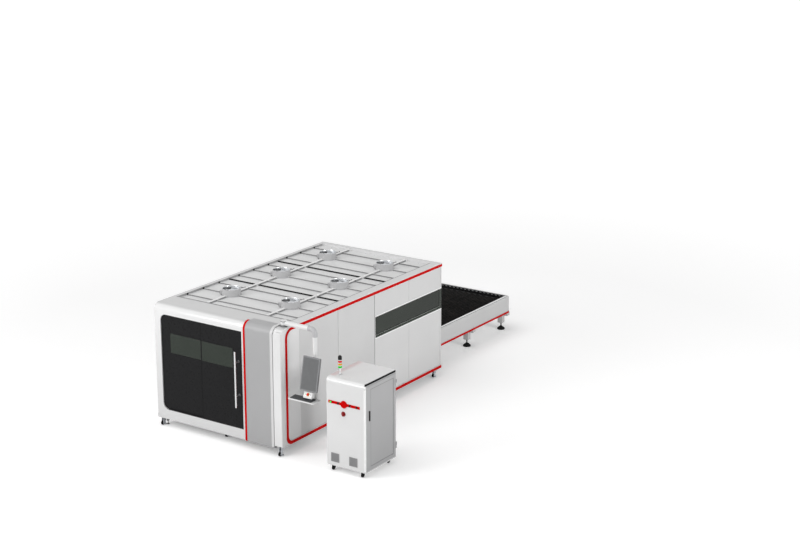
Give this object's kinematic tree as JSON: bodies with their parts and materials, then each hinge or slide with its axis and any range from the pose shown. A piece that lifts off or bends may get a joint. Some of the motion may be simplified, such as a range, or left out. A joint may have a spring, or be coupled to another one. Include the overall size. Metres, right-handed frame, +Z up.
{
  "type": "laser cutting machine",
  "caption": "Enclosed flat-bed laser cutter with sliding front door, roof fans, rear pallet exchange table, swivel operator console and separate control cabinet.",
  "frame": {"origin": "on the floor under the middle of the whole machine's plan box, cabinet and table included", "axes": "+X from the enclosure to the control cabinet, +Y from the front door to the exchange table, +Z up"},
  "size_m": [4.65, 8.6024, 2.442],
  "materials": {
    "white_paint": "satin powder coat",
    "panel_paint": "satin powder coat",
    "grey_paint": "satin powder coat",
    "red_paint": "gloss paint",
    "door_black": "dark gloss sheet",
    "tinted_glass": "tinted laser safety glass",
    "black_plastic": "matt",
    "rubber_black": "matt rubber",
    "bright_steel": "brushed",
    "zinc_steel": "zinc plated",
    "bed_iron": "painted casting",
    "slat_steel": "scorched steel",
    "alloy": "anodised",
    "roof_sheet": "satin powder coat",
    "screen_dark": "display glass",
    "key_black": "matt",
    "stop_red": "moulded",
    "lamp_green": "lens",
    "tower_grey": "moulded",
    "cabinet_white": "satin powder coat",
    "cabinet_grey": "satin powder coat"
  },
  "bodies": {
    "machine": {"base_frame": "white_paint", "front_hood": "white_paint", "column_cover": "grey_paint", "corner_pillar": "white_paint", "red_stripes": "red_paint", "right_front_panels": "panel_paint", "right_rear_panels": "panel_paint", "left_panels": "panel_paint", "side_windows": "tinted_glass", "rear_cover": "panel_paint", "portal_frames": "white_paint", "roof_rim": "white_paint", "roof_panels": "roof_sheet", "fan_housings": "panel_paint", "levelling_casters": "zinc_steel", "caster_wheels": "rubber_black", "door_tracks": "black_plastic", "fixed_leaf": "door_black", "fixed_window": "tinted_glass", "machine_bed": "bed_iron", "bed_rails": "bright_steel", "slag_trays": "zinc_steel", "table_frame": "panel_paint", "table_feet": "rubber_black", "exchange_drive": "black_plastic", "arm_base": "zinc_steel", "cabinet_shell": "cabinet_white", "cabinet_fascia": "red_paint", "power_lamp": "lamp_green", "push_buttons": "black_plastic", "cabinet_grilles": "cabinet_grey", "signal_tower": "tower_grey", "cabinet_casters": "rubber_black", "laser_source": "panel_paint"},
    "sliding_door": {"sliding_leaf": "door_black", "sliding_window": "tinted_glass", "door_handle": "bright_steel"},
    "gantry": {"gantry": "alloy"},
    "carriage": {"carriage": "alloy"},
    "cutting_head": {"cutting_head": "alloy"},
    "upper_pallet": {"upper_pallet": "bed_iron", "upper_slats": "slat_steel"},
    "lower_pallet": {"lower_pallet": "bed_iron", "lower_slats": "slat_steel"},
    "console": {"console_arm": "white_paint", "button_box": "white_paint", "keyboard_tray": "white_paint", "keyboard": "key_black"},
    "monitor": {"monitor": "black_plastic", "monitor_screen": "screen_dark"},
    "stop_button": {"stop_button": "stop_red"},
    "cabinet_door": {"cabinet_door": "cabinet_grey"},
    "cabinet_latch": {"cabinet_latch": "black_plastic"},
    "main_switch": {"main_switch": "stop_red"},
    "fan_1": {"fan_impeller_1": "black_plastic"},
    "fan_2": {"fan_impeller_2": "black_plastic"},
    "fan_3": {"fan_impeller_3": "black_plastic"},
    "fan_4": {"fan_impeller_4": "black_plastic"},
    "fan_5": {"fan_impeller_5": "black_plastic"},
    "fan_6": {"fan_impeller_6": "black_plastic"}
  },
  "joints": [
    {"name": "door_slide", "type": "slide", "parent": "machine", "child": "sliding_door", "axis": [-1, 0, 0], "range_m": [0, 0.8115]},
    {"name": "gantry_travel", "type": "slide", "parent": "machine", "child": "gantry", "axis": [0, 1, 0], "range_m": [0, 3.34]},
    {"name": "carriage_travel", "type": "slide", "parent": "gantry", "child": "carriage", "axis": [1, 0, 0], "range_m": [-0.8, 0.8]},
    {"name": "head_lower", "type": "slide", "parent": "carriage", "child": "cutting_head", "axis": [0, 0, -1], "range_m": [0, 0.12]},
    {"name": "pallet_in", "type": "slide", "parent": "machine", "child": "upper_pallet", "axis": [0, -1, 0], "range_m": [0, 3.815]},
    {"name": "pallet_out", "type": "slide", "parent": "machine", "child": "lower_pallet", "axis": [0, 1, 0], "range_m": [0, 3.815]},
    {"name": "arm_swivel", "type": "hinge", "parent": "machine", "child": "console", "pos_m": [0.469, -3.94775, 2.34], "axis": [0, 0, 1], "range_deg": [-90, 60]},
    {"name": "monitor_tilt", "type": "hinge", "parent": "console", "child": "monitor", "pos_m": [1.134, -4.04875, 1.624], "axis": [1, 0, 0], "range_deg": [0, 12]},
    {"name": "stop_press", "type": "slide", "parent": "console", "child": "stop_button", "axis": [0, 0.8575, -0.5145], "range_m": [0, 0.005], "stiffness_N_per_m": 900, "springref_m": -0.002},
    {"name": "cabinet_door_swing", "type": "hinge", "parent": "machine", "child": "cabinet_door", "pos_m": [2.317, -3.21975, 0.11], "axis": [0, 0, 1], "range_deg": [0, 110]},
    {"name": "latch_turn", "type": "hinge", "parent": "cabinet_door", "child": "cabinet_latch", "pos_m": [2.309, -4.02175, 1.183], "axis": [1, 0, 0], "range_deg": [0, 90]},
    {"name": "switch_turn", "type": "hinge", "parent": "machine", "child": "main_switch", "pos_m": [1.871, -4.15775, 1.088], "axis": [0, 1, 0], "range_deg": [0, 90]},
    {"name": "fan_1_spin", "type": "hinge", "parent": "machine", "child": "fan_1", "pos_m": [-1.553, -2.90275, 2.3544], "axis": [0, 0, 1], "continuous": true},
    {"name": "fan_2_spin", "type": "hinge", "parent": "machine", "child": "fan_2", "pos_m": [-0.189, -2.90275, 2.3544], "axis": [0, 0, 1], "continuous": true},
    {"name": "fan_3_spin", "type": "hinge", "parent": "machine", "child": "fan_3", "pos_m": [-1.553, -1.41275, 2.3544], "axis": [0, 0, 1], "continuous": true},
    {"name": "fan_4_spin", "type": "hinge", "parent": "machine", "child": "fan_4", "pos_m": [-0.189, -1.41275, 2.3544], "axis": [0, 0, 1], "continuous": true},
    {"name": "fan_5_spin", "type": "hinge", "parent": "machine", "child": "fan_5", "pos_m": [-1.553, 0.07725, 2.3544], "axis": [0, 0, 1], "continuous": true},
    {"name": "fan_6_spin", "type": "hinge", "parent": "machine", "child": "fan_6", "pos_m": [-0.189, 0.07725, 2.3544], "axis": [0, 0, 1], "continuous": true}
  ],
  "couplings": [
    {"joint": "pallet_out", "follows": "pallet_in", "ratio": 1}
  ]
}
